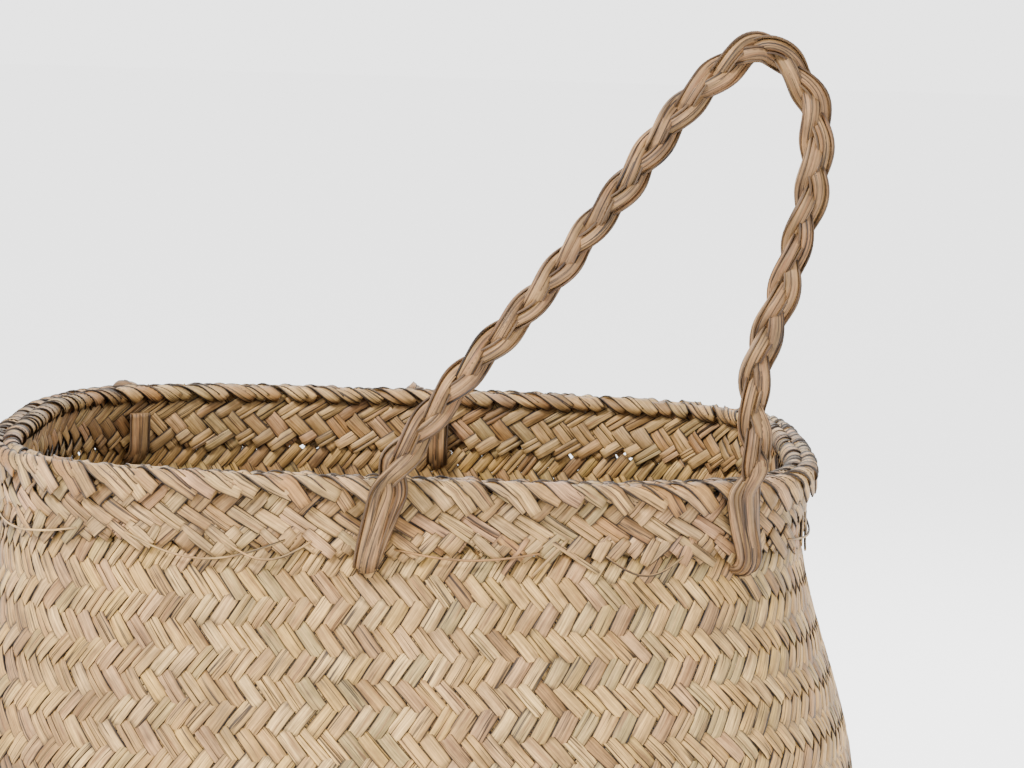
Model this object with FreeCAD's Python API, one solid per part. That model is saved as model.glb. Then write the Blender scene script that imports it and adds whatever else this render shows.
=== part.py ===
import FreeCAD, Part
import math
import os

os.makedirs("parts", exist_ok=True)
Vector = FreeCAD.Vector

# A seagrass storage basket: a plaited body that swells below a coarse double
# collar, two twisted rim edges, and two three-strand handles that hook through
# the wall under the collar. Millimetres, +Z up, origin at the centre of the
# base. The front is -Y. The mouth is a rounded square, so every level is a
# superellipse: exponent 2 is a circle and a larger exponent is squarer.

# Body
basket_height = 340.0       # floor to the top of the rim
wall_thickness = 4.0
belly_height = 182.0        # floor to the widest level
belly_half_width = 208.0
belly_squareness = 2.8
base_half_width = 150.0
base_squareness = 3.2
base_thickness = 4.5
bowl_power = 2.2            # how late the lower wall turns in towards the base
shoulder_roundness = 0.75   # 1 leaves the neck upright, 0 leaves it flared

# Collar and rim
mouth_half_width = 180.0    # centre to the collar's outer face
mouth_squareness = 3.6
collar_height = 28.0
collar_step = 2.0           # the collar stands this far proud of the neck
band_thickness = 3.5        # one plaited layer of the collar
band_gap = 0.2
rim_twist_radius = 2.8
rim_twist_spacing = 6.0     # between the centres of the two twisted edges
rim_overhang = 2.3          # the outer twist bulges past the collar's face

# Cut strip ends below the collar
strip_width = 7.0
strip_end_thickness = 1.6
strip_end_length = 9.0
strip_end_count = 28

# Handle ties: two flat bundles side by side at each foot of a handle
tie_width = 7.6
tie_thickness = 4.0
tie_gap = 0.4               # between the two bundles
tie_drop = 6.5              # the wall hole's centre below the collar
tie_tail_height = 24.0      # how far a bundle runs up the inside of the wall
tie_tail_gap = 1.5          # between a tail and the collar's inner face
tie_bend_radius = 3.6
clearance = 0.3

# Handles
foot_azimuths = (-1.0, 42.5)   # degrees from the front towards +X
strand_radius = 2.2
plait_spread = 2.5          # a strand's swing across the plait, in strand radii
plait_depth = 1.682         # and through its thickness, in strand radii
plait_pitch = 50.0          # handle length in which a strand comes back
points_per_pitch = 12
handle_rise = 177.0         # hinge axis to the centreline's highest point
hinge_lift = 3.5            # hinge axis above the rim
rear_rest_angle = 150.0     # the rear handle lies folded out, from upright

# The handle's centreline: along the hinge axis as a share of the distance
# between the feet, and up as a share of handle_rise. It leans to one side.
handle_outline = (
    (0.00, 0.00), (0.20, 0.23), (0.40, 0.43), (0.60, 0.66), (0.80, 0.89),
    (0.97, 1.00), (1.10, 0.89), (1.12, 0.74), (1.06, 0.48), (0.98, 0.23),
    (1.00, 0.00),
)

# Derived levels and half-widths
neck_height = basket_height - collar_height
neck_half_width = mouth_half_width - collar_step
band_top = basket_height - 2.0 * rim_twist_radius - band_gap
rim_level = basket_height - rim_twist_radius
outer_twist_half = mouth_half_width + rim_overhang - rim_twist_radius
inner_twist_half = outer_twist_half - rim_twist_spacing
inner_band_half = mouth_half_width - band_thickness - band_gap
inner_face_half = inner_band_half - band_thickness
plait_half_spread = plait_spread * strand_radius
plait_half_depth = plait_depth * strand_radius

SECTION_POINTS = 48
WALL_LEVELS = 17
LARGEST_TRIM = 0.45         # share of a straight run that an arc may take


def polar_radius(half_width, squareness, angle):
    """Distance from the axis to a superellipse in the direction of angle."""
    cosine = abs(math.cos(angle)) ** squareness
    sine = abs(math.sin(angle)) ** squareness
    return half_width / (cosine + sine) ** (1.0 / squareness)


def section(half_width, squareness, level):
    """A closed smooth superellipse wire at one height."""
    points = []
    for step in range(SECTION_POINTS):
        angle = 2.0 * math.pi * step / SECTION_POINTS
        radius = polar_radius(half_width, squareness, angle)
        points.append(Vector(radius * math.cos(angle), radius * math.sin(angle), level))
    curve = Part.BSplineCurve()
    curve.interpolate(Points=points, PeriodicFlag=True)
    return Part.Wire([curve.toShape()])


def body_level(level):
    """The wall's outer half-width and squareness at one height."""
    if level <= belly_height:
        share = level / belly_height
        swell = 1.0 - (1.0 - share) ** bowl_power
        half_width = base_half_width + (belly_half_width - base_half_width) * swell
        squareness = base_squareness + (belly_squareness - base_squareness) * share
        return half_width, squareness
    share = (neck_height - level) / (neck_height - belly_height)
    rounded = 0.5 - 0.5 * math.cos(math.pi * share)
    leaning = math.sin(0.5 * math.pi * share)
    flare = shoulder_roundness * rounded + (1.0 - shoulder_roundness) * leaning
    half_width = neck_half_width + (belly_half_width - neck_half_width) * flare
    squareness = mouth_squareness + (belly_squareness - mouth_squareness) * share
    return half_width, squareness


def body_solid(inset):
    """The body's outer form, or the space inside it when inset by the wall."""
    wires = []
    for step in range(WALL_LEVELS):
        level = neck_height * step / (WALL_LEVELS - 1)
        half_width, squareness = body_level(level)
        wires.append(section(half_width - inset, squareness, level))
    return Part.makeLoft(wires, True, False)


def make_belly_wall():
    """The plaited wall from the floor to the neck, with a hole per handle foot."""
    wall = body_solid(0.0).cut(body_solid(wall_thickness))
    for foot in all_feet():
        wall = wall.cut(tie_hole(foot))
    return wall


def make_base_mat():
    """The flat plaited bottom, inside the foot of the wall."""
    half_width = base_half_width - wall_thickness - clearance
    lower = section(half_width, base_squareness, 0.0)
    upper = section(half_width, base_squareness, base_thickness)
    return Part.makeLoft([lower, upper], True, True)


def make_band(outer_half):
    """One plaited layer of the collar: a straight ring from the neck to the rim."""
    outer = []
    inner = []
    for level in (neck_height + band_gap, band_top):
        outer.append(section(outer_half, mouth_squareness, level))
        inner.append(section(outer_half - band_thickness, mouth_squareness, level))
    return Part.makeLoft(outer, True, True).cut(Part.makeLoft(inner, True, True))


def make_rim_twist(centre_half):
    """A round twisted edge that lies along the top of one collar layer."""
    spine = section(centre_half, mouth_squareness, rim_level)
    start = Vector(centre_half, 0.0, rim_level)
    circle = Part.makeCircle(rim_twist_radius, start, Vector(0.0, 1.0, 0.0))
    return spine.makePipeShell([Part.Wire([circle])], True, False)


def outward_normal(x, y):
    """Unit outward direction of the mouth's outline at one of its points."""
    power = mouth_squareness - 1.0
    across = math.copysign(abs(x) ** power, x)
    along = math.copysign(abs(y) ** power, y)
    return Vector(across, along, 0.0).normalize()


def collar_frame(azimuth):
    """A point of the collar's outer face, with its outward and sideways directions."""
    angle = math.radians(azimuth - 90.0)
    radius = polar_radius(mouth_half_width, mouth_squareness, angle)
    origin = Vector(radius * math.cos(angle), radius * math.sin(angle), 0.0)
    outward = outward_normal(origin.x, origin.y)
    sideways = Vector(-outward.y, outward.x, 0.0)
    return origin, outward, sideways


def all_feet():
    """The collar frames of the four handle feet, front pair first."""
    feet = []
    for half_turn in (0.0, 180.0):
        for azimuth in foot_azimuths:
            feet.append(collar_frame(azimuth + half_turn))
    return feet


# Where a tie runs, measured outward from the collar's outer face. The collar
# is a scaled outline inside a scaled outline, so it is thickest at its corners.
tie_inner_face = rim_overhang + clearance
tie_front = tie_inner_face + 0.5 * tie_thickness
corner_stretch = 2.0 ** (0.5 - 1.0 / mouth_squareness)
collar_depth = (mouth_half_width - inner_face_half) * corner_stretch
tie_back = -collar_depth - tie_tail_gap - 0.5 * tie_thickness
tie_level = neck_height - tie_drop
plait_half_thickness = plait_half_depth * math.sin(math.radians(60.0)) + strand_radius
hinge_out = tie_inner_face + tie_thickness + clearance + plait_half_thickness
hinge_level = basket_height + hinge_lift
tie_top = hinge_level - plait_half_thickness - clearance


def at(frame, out, side, level):
    """A point given outward, sideways and up from a collar frame."""
    origin, outward, sideways = frame
    return origin + outward * out + sideways * side + Vector(0.0, 0.0, level)


def tie_hole(frame):
    """The gap in the wall that both bundles of a foot pass through."""
    half_width = tie_width + 0.5 * tie_gap + clearance
    half_height = 0.5 * tie_thickness + clearance
    corners = []
    for out, side in ((tie_front, -1.0), (tie_front, 1.0), (tie_back, 1.0), (tie_back, -1.0)):
        corners.append(at(frame, out, side * half_width, tie_level - half_height))
    face = Part.Face(Part.makePolygon(corners + corners[:1]))
    return face.extrude(Vector(0.0, 0.0, 2.0 * half_height))


def flat_bundle_section(frame, out, side, level):
    """A tie's cross-section: flat, with round edges, facing up."""
    straight = 0.5 * (tie_width - tie_thickness)
    radius = 0.5 * tie_thickness
    edges = []
    for sign in (1.0, -1.0):
        begin = at(frame, out - sign * radius, side + sign * straight, level)
        bulge = at(frame, out, side + sign * (straight + radius), level)
        end = at(frame, out + sign * radius, side + sign * straight, level)
        edges.append(Part.Arc(begin, bulge, end).toShape())
        following = at(frame, out + sign * radius, side - sign * straight, level)
        edges.append(Part.LineSegment(end, following).toShape())
    return Part.Wire(edges)


def rounded_path(points, largest_radius=None):
    """Straight runs joined by tangent arcs, each as large as its two runs allow."""
    edges = []
    start = points[0]
    for before, corner, after in zip(points, points[1:], points[2:]):
        into = (corner - before).normalize()
        out = (after - corner).normalize()
        half_turn = 0.5 * into.getAngle(out)
        trim = LARGEST_TRIM * min(corner.distanceToPoint(before), corner.distanceToPoint(after))
        if largest_radius is not None:
            trim = min(trim, largest_radius * math.tan(half_turn))
        radius = trim / math.tan(half_turn)
        inward = (out - into).normalize()
        middle = corner + inward * (radius / math.cos(half_turn) - radius)
        arc_start = corner - into * trim
        arc_end = corner + out * trim
        edges.append(Part.LineSegment(start, arc_start).toShape())
        edges.append(Part.Arc(arc_start, middle, arc_end).toShape())
        start = arc_end
    edges.append(Part.LineSegment(start, points[-1]).toShape())
    return Part.Wire(edges)


def make_tie(frame, side):
    """One bundle: down the collar, in through the wall and up the inside."""
    corners = (
        at(frame, tie_front, side, tie_top),
        at(frame, tie_front, side, tie_level),
        at(frame, tie_back, side, tie_level),
        at(frame, tie_back, side, tie_level + tie_tail_height),
    )
    path = rounded_path(corners, tie_bend_radius)
    profile = flat_bundle_section(frame, tie_front, side, tie_top)
    return path.makePipeShell([profile], True, False)


def hinge_frame():
    """The front handle's hinge: left foot, direction to the right foot, span."""
    feet = []
    for azimuth in foot_azimuths:
        feet.append(at(collar_frame(azimuth), hinge_out, 0.0, hinge_level))
    along = feet[1] - feet[0]
    span = along.Length
    return feet[0], along.normalize(), span


def handle_centreline():
    """Evenly spaced points along the handle, with the direction across it at each."""
    origin, along, span = hinge_frame()
    up = Vector(0.0, 0.0, 1.0)
    knots = []
    for share_along, share_up in handle_outline:
        knots.append(origin + along * (share_along * span) + up * (share_up * handle_rise))
    curve = Part.BSplineCurve()
    curve.interpolate(Points=knots)
    edge = curve.toShape()
    turns = max(3, round(edge.Length / plait_pitch))
    count = turns * points_per_pitch + 1
    samples = edge.discretize(Number=count)
    through = along.cross(up)
    frames = []
    for place in samples:
        tangent = edge.tangentAt(curve.parameter(place))
        across = tangent.cross(through).normalize()
        frames.append((place, across, through))
    return frames, turns


def make_strand(frames, turns, phase):
    """One strand of the plait, weaving from side to side round the centreline."""
    points = []
    for step, (place, across, through) in enumerate(frames):
        angle = 2.0 * math.pi * turns * step / (len(frames) - 1) + phase
        swing = across * (plait_half_spread * math.sin(angle))
        depth = through * (plait_half_depth * math.sin(2.0 * angle))
        points.append(place + swing + depth)
    path = rounded_path(points)
    circle = Part.makeCircle(strand_radius, points[0], (points[1] - points[0]).normalize())
    return path.makePipeShell([Part.Wire([circle])], True, False)


def make_handle():
    """The three strands of an upright handle at the front."""
    frames, turns = handle_centreline()
    strands = []
    for index in range(3):
        strands.append(make_strand(frames, turns, 2.0 * math.pi * index / 3.0))
    return strands


def to_rear(shape):
    """The rear handle: the same part, turned half round and folded outward."""
    origin, along, _ = hinge_frame()
    folded = shape.copy()
    folded.rotate(origin, along, rear_rest_angle)
    folded.rotate(Vector(0.0, 0.0, 0.0), Vector(0.0, 0.0, 1.0), 180.0)
    return folded


def wall_out(azimuth, level):
    """How far the wall's outer face stands outside the collar's at one place."""
    angle = math.radians(azimuth - 90.0)
    half_width, squareness = body_level(level)
    gain = polar_radius(half_width, squareness, angle)
    gain -= polar_radius(mouth_half_width, mouth_squareness, angle)
    origin, outward, _ = collar_frame(azimuth)
    return gain * outward.dot(origin) / origin.Length


def make_strip_ends():
    """Short cut strip ends that stick out of the weave under the collar."""
    ends = []
    blocked_reach = tie_width + tie_gap + strip_width
    for index in range(strip_end_count):
        azimuth = 360.0 * (index + 0.5) / strip_end_count
        frame = collar_frame(azimuth)
        if min(frame[0].distanceToPoint(foot[0]) for foot in all_feet()) < blocked_reach:
            continue
        side_view = []
        for level in (neck_height - clearance, neck_height - strip_end_length):
            face_out = wall_out(azimuth, level) + clearance
            side_view.append((face_out, level))
        top, bottom = side_view
        side_view.append((bottom[0] + strip_end_thickness, bottom[1]))
        side_view.append((top[0] + strip_end_thickness, top[1]))
        corners = []
        for out, level in side_view:
            corners.append(at(frame, out, -0.5 * strip_width, level))
        face = Part.Face(Part.makePolygon(corners + corners[:1]))
        ends.append(face.extrude(frame[2] * strip_width))
    return Part.makeCompound(ends)


def write(name, shape):
    """Saves one sub-part as parts/NAME.step."""
    shape.exportStep(os.path.join("parts", name + ".step"))
    box = shape.BoundBox
    print(f"{name}: {shape.Volume / 1000.0:.1f} cm3, valid {shape.isValid()}, "
          f"{len(shape.Solids)} solids, z {box.ZMin:.1f}..{box.ZMax:.1f}")


def main():
    """Builds and writes every sub-part."""
    write("base_mat", make_base_mat())
    write("belly_wall", make_belly_wall())
    write("collar_inner_band", make_band(inner_band_half))
    write("collar_outer_band", make_band(mouth_half_width))
    write("rim_inner_twist", make_rim_twist(inner_twist_half))
    write("rim_outer_twist", make_rim_twist(outer_twist_half))
    write("collar_strip_ends", make_strip_ends())
    side_step = 0.5 * (tie_width + tie_gap)
    foot_names = ("front_handle_left", "front_handle_right", "rear_handle_left", "rear_handle_right")
    for foot_name, frame in zip(foot_names, all_feet()):
        write(foot_name + "_tie_a", make_tie(frame, -side_step))
        write(foot_name + "_tie_b", make_tie(frame, side_step))
    for letter, strand in zip("abc", make_handle()):
        write("front_handle_strand_" + letter, strand)
        write("rear_handle_strand_" + letter, to_rear(strand))
    left, along, span = hinge_frame()
    print("hinge", left, along, span, "hinge_out", hinge_out)


main()
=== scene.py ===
import logging
import math
import random
from bisect import bisect_right
from dataclasses import dataclass, field
from enum import Enum
from typing import Callable, Sequence

import bmesh
import bpy
from mathutils import Matrix, Vector


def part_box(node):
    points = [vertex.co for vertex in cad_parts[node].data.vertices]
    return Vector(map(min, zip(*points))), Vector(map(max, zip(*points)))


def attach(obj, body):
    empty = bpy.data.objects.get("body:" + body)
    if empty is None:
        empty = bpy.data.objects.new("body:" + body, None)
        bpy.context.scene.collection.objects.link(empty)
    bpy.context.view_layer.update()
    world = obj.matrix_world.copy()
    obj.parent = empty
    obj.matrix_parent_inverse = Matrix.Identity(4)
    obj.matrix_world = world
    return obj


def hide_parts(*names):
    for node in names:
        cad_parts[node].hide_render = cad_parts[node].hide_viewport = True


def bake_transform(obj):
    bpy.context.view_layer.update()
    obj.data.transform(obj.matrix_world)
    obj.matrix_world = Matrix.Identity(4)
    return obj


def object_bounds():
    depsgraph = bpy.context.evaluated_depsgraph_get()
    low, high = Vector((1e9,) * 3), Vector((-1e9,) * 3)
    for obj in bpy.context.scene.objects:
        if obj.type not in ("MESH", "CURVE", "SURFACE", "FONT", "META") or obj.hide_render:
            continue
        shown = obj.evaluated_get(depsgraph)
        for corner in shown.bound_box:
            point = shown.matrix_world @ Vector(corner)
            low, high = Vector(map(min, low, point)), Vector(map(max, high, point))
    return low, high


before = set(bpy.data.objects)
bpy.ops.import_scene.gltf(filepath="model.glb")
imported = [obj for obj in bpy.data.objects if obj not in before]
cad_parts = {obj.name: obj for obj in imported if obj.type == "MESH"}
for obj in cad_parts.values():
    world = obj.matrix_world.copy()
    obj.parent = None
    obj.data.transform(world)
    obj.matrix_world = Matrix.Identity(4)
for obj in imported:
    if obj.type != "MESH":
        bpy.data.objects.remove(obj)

CAD_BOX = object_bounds()
MM = 0.001
UP = Vector((0.0, 0.0, 1.0))
LOG = logging.getLogger("seagrass_basket")


class Foot(Enum):
    """The two ends of a handle, as azimuths from the front towards +X, in degrees."""

    LEFT = -1.0
    RIGHT = 42.5


class Seed(Enum):
    """Where each part's random numbers start, so that every run is the same."""

    WALL = 11
    BOTTOM = 23
    OUTER_BAND = 31
    INNER_BAND = 32
    OUTER_EDGE = 33
    INNER_EDGE = 34
    CUT_ENDS = 41
    REAR_HANDLE = 54
    FRONT_HANDLE = 55


class Turn(Enum):
    """Where a handle stands: its turn about the basket and its fold at rest, in degrees."""

    FRONT = (0.0, 0.0)
    REAR = (180.0, 150.0)


def linear(hex_colour: str) -> tuple[float, float, float, float]:
    """Turns an sRGB hex colour to linear light.

    Args:
        hex_colour: Six hex digits, such as "c8b08a".

    Returns:
        Red, green, blue and an alpha of 1.
    """
    channels = []
    for start in (0, 2, 4):
        value = int(hex_colour[start:start + 2], 16) / 255.0
        channels.append(value / 12.92 if value <= 0.04045 else ((value + 0.055) / 1.055) ** 2.4)
    return channels[0], channels[1], channels[2], 1.0


def add_node(tree: bpy.types.NodeTree, kind: str, inputs: dict | None = None,
             **settings: object) -> bpy.types.Node:
    """Adds one node with its settings, values and links.

    Args:
        tree: The material's node tree.
        kind: The node's type name.
        inputs: Input name or index to a value, or to an output socket to link.
        **settings: Attributes of the node itself.

    Returns:
        The new node.
    """
    node = tree.nodes.new(kind)
    for name, value in settings.items():
        setattr(node, name, value)
    for key, value in (inputs or {}).items():
        if isinstance(value, bpy.types.NodeSocket):
            tree.links.new(value, node.inputs[key])
        else:
            node.inputs[key].default_value = value
    return node


@dataclass(frozen=True)
class Grain:
    """How fine a pattern drawn out along a leaf is, in features per millimetre."""

    across: float
    along: float


@dataclass(frozen=True)
class SeagrassFinish:
    """Dried seagrass leaf, split flat and plaited.

    The leaf dries to a dull straw colour that differs from strip to strip, with
    fine ribs and dark splits along it, painted shade along its curled edges where
    strips meet, and painted shade where it dips under its neighbour.
    """

    name: str
    shades: tuple[str, ...]
    streak: str = "54331a"
    # Colour of the dark splits, and of the painted shade along the leaf edges
    dark: str = "120904"
    # Where the painted shade along the leaf edges begins across the leaf, and how dark it gets
    edge_shade_start: float = 0.41
    edge_shade_strength: float = 0.95
    split_strength: float = 0.9
    roughness: float = 0.6
    streaks: Grain = Grain(0.5, 0.045)
    ribs: Grain = Grain(1.5, 0.05)
    splits: Grain = Grain(0.85, 0.02)
    patches_per_metre: float = 55.0
    rib_relief: float = 0.6 * MM

    def material(self) -> bpy.types.Material:
        """Builds the node material.

        Returns:
            The finished material.
        """
        made = bpy.data.materials.new(self.name)
        made.use_nodes = True
        tree = made.node_tree
        tree.nodes.clear()
        leaf = self.uv_parts(tree, "tone")
        along = self.uv_parts(tree, "grain")
        lie = self.uv_parts(tree, "lie")
        # One dry leaf colour per strip
        ramp = add_node(tree, "ShaderNodeValToRGB", {0: leaf.outputs["X"]})
        stops = ramp.color_ramp.elements
        while len(stops) < len(self.shades):
            stops.new(0.5)
        for index, shade in enumerate(self.shades):
            stops[index].position = index / (len(self.shades) - 1)
            stops[index].color = linear(shade)
        # Brown streaks a millimetre or two wide that run along the leaf
        streaks = self.pulled_noise(tree, leaf, along, self.streaks)
        streaked = self.blend_colour(
            tree, self.ranged(tree, streaks.outputs["Fac"], (0.48, 0.72), (0.0, 0.7)),
            ramp.outputs["Color"], linear(self.streak))
        # Fine ribs, and sun-bleached or stained patches about two centimetres across
        ribs = self.pulled_noise(tree, leaf, along, self.ribs)
        where = add_node(tree, "ShaderNodeTexCoord")
        patches = add_node(
            tree, "ShaderNodeTexNoise",
            {"Vector": where.outputs["Object"], "Scale": self.patches_per_metre, "Detail": 4.0,
             "Roughness": 0.65})
        rib_gain = self.ranged(tree, ribs.outputs["Fac"], (0.3, 0.7), (0.5, 1.4))
        patch_gain = self.ranged(tree, patches.outputs["Fac"], (0.3, 0.7), (0.62, 1.32))
        # Painted shade where the leaf dips under its neighbour
        dip_painted_shade = self.ranged(tree, lie.outputs["X"], (0.0, 0.5), (0.35, 1.0))
        gain = self.product(tree, self.product(tree, rib_gain, patch_gain), dip_painted_shade)
        lit = add_node(
            tree, "ShaderNodeVectorMath", {0: streaked, "Scale": gain}, operation="SCALE")
        # Thin dark splits between the fibres
        splits = self.pulled_noise(tree, leaf, along, self.splits)
        split = self.blend_colour(
            tree,
            self.ranged(tree, splits.outputs["Fac"], (0.585, 0.64), (0.0, self.split_strength)),
            lit.outputs["Vector"], linear(self.dark))
        # Painted shade along the curled edges, where neighbouring strips meet
        centred = add_node(
            tree, "ShaderNodeMath", {0: leaf.outputs["Y"], 1: 0.5}, operation="SUBTRACT")
        reach = add_node(tree, "ShaderNodeMath", {0: centred.outputs[0]}, operation="ABSOLUTE")
        edge_shaded = self.blend_colour(
            tree,
            self.ranged(tree, reach.outputs[0], (self.edge_shade_start, 0.47), (0.0, self.edge_shade_strength)),
            split, linear(self.dark))
        bump = add_node(
            tree, "ShaderNodeBump",
            {"Height": ribs.outputs["Fac"], "Strength": 0.7, "Distance": self.rib_relief})
        shader = add_node(
            tree, "ShaderNodeBsdfPrincipled",
            {"Base Color": edge_shaded, "Normal": bump.outputs["Normal"],
             "Roughness": self.roughness, "IOR": 1.45, "Specular IOR Level": 0.3})
        add_node(tree, "ShaderNodeOutputMaterial", {"Surface": shader.outputs["BSDF"]})
        return made

    def uv_parts(self, tree: bpy.types.NodeTree, layer: str) -> bpy.types.Node:
        """Splits one of the leaf's own maps into its two numbers.

        Args:
            tree: The material's node tree.
            layer: Name of the map.

        Returns:
            A node with the outputs X and Y.
        """
        placed = add_node(tree, "ShaderNodeUVMap", uv_map=layer)
        return add_node(tree, "ShaderNodeSeparateXYZ", {0: placed.outputs["UV"]})

    def ranged(self, tree: bpy.types.NodeTree, value: bpy.types.NodeSocket,
               source: tuple[float, float], target: tuple[float, float]) -> bpy.types.NodeSocket:
        """Maps a number from one clamped range to another.

        Args:
            tree: The material's node tree.
            value: The number.
            source: Its lowest and highest values.
            target: What they become.

        Returns:
            The mapped number.
        """
        node = add_node(
            tree, "ShaderNodeMapRange",
            {"Value": value, "From Min": source[0], "From Max": source[1],
             "To Min": target[0], "To Max": target[1]})
        return node.outputs["Result"]

    def product(self, tree: bpy.types.NodeTree, first: bpy.types.NodeSocket,
                second: bpy.types.NodeSocket) -> bpy.types.NodeSocket:
        """Multiplies two numbers.

        Args:
            tree: The material's node tree.
            first: One number.
            second: The other.

        Returns:
            Their product.
        """
        node = add_node(tree, "ShaderNodeMath", {0: first, 1: second}, operation="MULTIPLY")
        return node.outputs[0]

    def blend_colour(self, tree: bpy.types.NodeTree, share: bpy.types.NodeSocket,
                     first: bpy.types.NodeSocket,
                     second: tuple[float, float, float, float]) -> bpy.types.NodeSocket:
        """Mixes a colour towards a constant one.

        Args:
            tree: The material's node tree.
            share: 0 for the first colour, 1 for the second.
            first: The varying colour.
            second: The constant colour.

        Returns:
            The mixed colour.
        """
        node = add_node(tree, "ShaderNodeMix", {0: share, 6: first, 7: second}, data_type="RGBA")
        return node.outputs[2]

    def pulled_noise(
            self, tree: bpy.types.NodeTree, leaf: bpy.types.Node, along: bpy.types.Node,
            grain: Grain) -> bpy.types.Node:
        """Noise drawn out along the leaf, different on every strip.

        Args:
            tree: The material's node tree.
            leaf: Node that splits the per-strip tone and the place across the strip.
            along: Node that splits the millimetres along and across the strip.
            grain: How fine the noise is.

        Returns:
            The noise node.
        """
        # Leaves of nearly the same tone still land far apart in the noise
        tone_spread = 977.0
        joined = add_node(
            tree, "ShaderNodeCombineXYZ",
            {"X": along.outputs["X"], "Y": along.outputs["Y"], "Z": leaf.outputs["X"]})
        place = add_node(
            tree, "ShaderNodeVectorMath",
            {0: joined.outputs[0], 1: (grain.along, grain.across, tone_spread)}, operation="MULTIPLY")
        return add_node(
            tree, "ShaderNodeTexNoise",
            {"Vector": place.outputs["Vector"], "Scale": 1.0, "Detail": 3.0, "Roughness": 0.6})


BODY_FINISH = SeagrassFinish(
    "dried_seagrass_body",
    ("836335", "927242", "9a7945", "85653a", "95743b",
     "77633b", "a0814f", "8a6944", "6d502c", "947646"))
COLLAR_FINISH = SeagrassFinish(
    "dried_seagrass_collar",
    ("795b35", "8c6d41", "79643e", "937447", "77552d",
     "876647", "947548", "644828", "83683f", "896d48"))
HANDLE_FINISH = SeagrassFinish(
    "dried_seagrass_handle",
    ("63482b", "745939", "6a4e30", "7a5f42", "5a4125", "6c5439", "745837", "554024"),
    edge_shade_start=0.42, edge_shade_strength=0.7)


class Leaves:
    """A bmesh of flat leaf ribbons that share one object."""

    def __init__(self, name: str, finish: bpy.types.Material, thickness: float) -> None:
        """Starts an empty piece.

        Args:
            name: The piece's name.
            finish: Its material.
            thickness: Thickness of a leaf in metres.
        """
        self.name = name
        self.finish = finish
        self.thickness = thickness
        self.mesh = bmesh.new()
        self.grain = self.mesh.loops.layers.uv.new("grain")
        self.tone = self.mesh.loops.layers.uv.new("tone")
        # How clear of its neighbours the leaf is; the finish paints shade where this is low
        self.lie = self.mesh.loops.layers.uv.new("lie")

    def add(self, centres: Sequence[Vector], sides: Sequence[Vector], normals: Sequence[Vector],
            widths: Sequence[float], crown: float, tone: float, lies: Sequence[float],
            across: int = 2) -> None:
        """Adds one ribbon: a grid bent along a line of centres.

        Args:
            centres: Points along the middle of the leaf.
            sides: Unit direction across the leaf at each point.
            normals: Unit direction out of its face at each point.
            widths: Full width at each point.
            crown: How far the middle stands above the two edges.
            tone: Random number from 0 to 1 that picks the leaf's colour.
            lies: At each point, 1 where the leaf lies on top and 0 where it is hidden.
            across: Number of faces across the leaf.
        """
        segments = len(centres) - 1
        made = bmesh.ops.create_grid(self.mesh, x_segments=segments, y_segments=across, size=1.0)
        lengths = [0.0]
        for first, second in zip(centres, centres[1:]):
            lengths.append(lengths[-1] + (second - first).length / MM)
        places = {}
        for vertex in made["verts"]:
            step = round((vertex.co.x + 1.0) * 0.5 * segments)
            share = vertex.co.y
            places[vertex] = (lengths[step], share, widths[step], lies[step])
            lift = crown * (1.0 - share * share)
            sideways = sides[step] * (share * 0.5 * widths[step])
            vertex.co = centres[step] + sideways + normals[step] * lift
        for face in {face for vertex in made["verts"] for face in vertex.link_faces}:
            face.smooth = True
            for loop in face.loops:
                length, share, width, lies_at = places[loop.vert]
                loop[self.grain].uv = (length, share * 0.5 * width / MM)
                loop[self.tone].uv = (tone, 0.5 + 0.5 * share)
                loop[self.lie].uv = (lies_at, 0.0)

    def finished(self) -> bpy.types.Object:
        """Closes the mesh and gives every leaf its thickness.

        Returns:
            The new object, linked to the scene.
        """
        data = bpy.data.meshes.new(self.name)
        self.mesh.to_mesh(data)
        self.mesh.free()
        made = bpy.data.objects.new(self.name, data)
        bpy.context.scene.collection.objects.link(made)
        data.materials.append(self.finish)
        solid = made.modifiers.new("leaf_thickness", "SOLIDIFY")
        solid.thickness = self.thickness
        solid.offset = 0.0
        LOG.info("%s: %d faces", self.name, len(data.polygons))
        return made


class Outline:
    """One level of the basket: a rounded square measured along its length."""

    STEPS = 360

    def __init__(self, half_width: float, squareness: float) -> None:
        """Walks once round the outline from the middle of the front.

        Args:
            half_width: From the centre to the flat of a side.
            squareness: Superellipse exponent, 2 for a circle.
        """
        self.points = []
        self.normals = []
        for step in range(self.STEPS + 1):
            angle = math.tau * step / self.STEPS - 0.5 * math.pi
            cosine = math.cos(angle)
            sine = math.sin(angle)
            roundness = abs(cosine) ** squareness + abs(sine) ** squareness
            reach = half_width / roundness ** (1.0 / squareness)
            point = Vector((reach * cosine, reach * sine, 0.0))
            power = squareness - 1.0
            normal = Vector((
                math.copysign(abs(point.x / half_width) ** power, point.x),
                math.copysign(abs(point.y / half_width) ** power, point.y), 0.0))
            self.points.append(point)
            self.normals.append(normal.normalized())
        self.lengths = [0.0]
        for first, second in zip(self.points, self.points[1:]):
            self.lengths.append(self.lengths[-1] + (second - first).length)

    @property
    def perimeter(self) -> float:
        """The whole way round."""
        return self.lengths[-1]

    def at(self, share: float) -> tuple[Vector, Vector]:
        """A point and its outward direction.

        Args:
            share: Share of the way round, from the front towards +X; any number.

        Returns:
            The point and the unit normal, both level.
        """
        length = (share % 1.0) * self.perimeter
        index = min(bisect_right(self.lengths, length) - 1, self.STEPS - 1)
        part = (length - self.lengths[index]) / (self.lengths[index + 1] - self.lengths[index])
        point = self.points[index].lerp(self.points[index + 1], part)
        return point, self.normals[index].lerp(self.normals[index + 1], part).normalized()


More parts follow.
